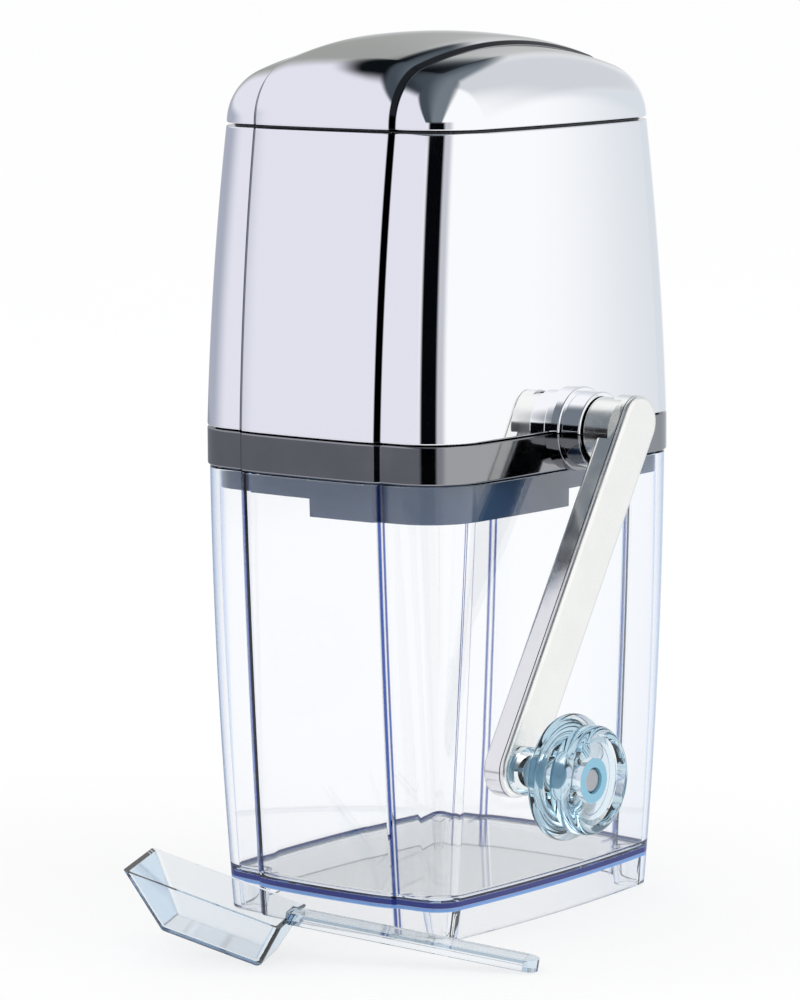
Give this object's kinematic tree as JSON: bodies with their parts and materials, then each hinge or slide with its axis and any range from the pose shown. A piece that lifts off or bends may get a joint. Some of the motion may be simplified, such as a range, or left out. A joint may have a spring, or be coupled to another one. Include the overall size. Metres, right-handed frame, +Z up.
{
  "type": "hand crank ice crusher",
  "caption": "Hand cranked ice crusher: clear container, dark base frame with a toothed rotor, plated housing and domed lid, side crank with a clear knob, and a loose scoop.",
  "frame": {"origin": "middle of the container's footprint, on the surface that it stands on", "axes": "+Z up; the crank turns about X and is on the +X side; the front, where the scoop lies, faces -Y"},
  "size_m": [0.1467, 0.1877, 0.256],
  "materials": {
    "clear_plastic": "clear injection moulded plastic with a pale blue tint",
    "slate_plastic": "dark slate moulded plastic, glossy",
    "plated_plastic": "plastic, chrome plated",
    "white_plastic": "white moulded plastic",
    "bush_plastic": "self lubricating bearing plastic",
    "arm_plastic": "plastic, satin plated",
    "blue_plastic": "blue moulded plastic",
    "stainless": "stainless steel"
  },
  "bodies": {
    "container": {"container": "clear_plastic"},
    "hopper_unit": {"base_frame": "slate_plastic", "upper_housing": "plated_plastic", "hopper_liner": "white_plastic", "front_comb": "stainless", "back_comb": "stainless", "left_bush": "bush_plastic", "right_bush": "bush_plastic", "housing_screws": "stainless"},
    "lid": {"lid": "plated_plastic"},
    "rotor": {"rotor_shaft": "stainless", "rotor_blade_1": "stainless", "rotor_blade_2": "stainless", "rotor_blade_3": "stainless", "rotor_blade_4": "stainless", "rotor_blade_5": "stainless", "rotor_spacers": "stainless", "retaining_clip": "stainless", "crank_arm": "arm_plastic", "crank_arm_cover": "arm_plastic", "crank_screw": "stainless", "knob_pin": "stainless"},
    "knob": {"knob": "clear_plastic", "knob_hub": "blue_plastic"},
    "scoop": {"scoop": "clear_plastic"}
  },
  "joints": [
    {"name": "hopper_lift", "type": "slide", "parent": "container", "child": "hopper_unit", "axis": [0, 0, 1], "range_m": [0, 0.06]},
    {"name": "lid_lift", "type": "slide", "parent": "hopper_unit", "child": "lid", "axis": [0, 0, 1], "range_m": [0, 0.06]},
    {"name": "crank_turn", "type": "hinge", "parent": "hopper_unit", "child": "rotor", "pos_m": [0, 0, 0.1432], "axis": [1, 0, 0], "continuous": true},
    {"name": "knob_spin", "type": "hinge", "parent": "rotor", "child": "knob", "pos_m": [0.085, -0.05579, 0.0546], "axis": [1, 0, 0], "continuous": true},
    {"name": "scoop_slide", "type": "slide", "parent": "container", "child": "scoop", "axis": [0, -1, 0], "range_m": [0, 0.1]}
  ]
}
